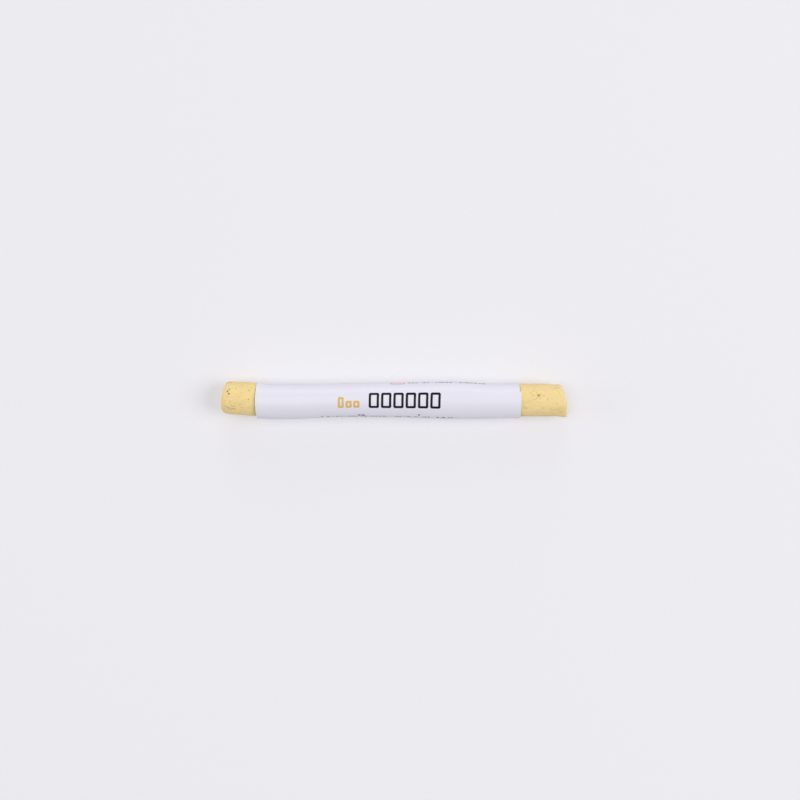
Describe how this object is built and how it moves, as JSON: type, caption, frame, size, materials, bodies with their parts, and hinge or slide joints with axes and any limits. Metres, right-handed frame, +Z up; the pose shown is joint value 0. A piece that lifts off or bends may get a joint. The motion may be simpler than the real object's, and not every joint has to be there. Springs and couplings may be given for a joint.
{
  "type": "chalk pastel stick",
  "caption": "Round stick of soft drawing chalk with a worn tip and a snapped tip, lying in a loosely wrapped paper label that leaves the ends bare.",
  "frame": {"origin": "middle of the base of the bounding box: on the table, under the middle of the stick", "axes": "+X along the stick towards the snapped tip, +Y towards the free edge of the label's lap, +Z up from the table"},
  "size_m": [0.0908, 0.01, 0.0094],
  "materials": {
    "chalk_stick": "matte, powdery",
    "paper_label": "smooth coated, slightly glossy"
  },
  "bodies": {
    "root": {"chalk_stick": "chalk_stick", "paper_label": "paper_label"}
  },
  "joints": []
}
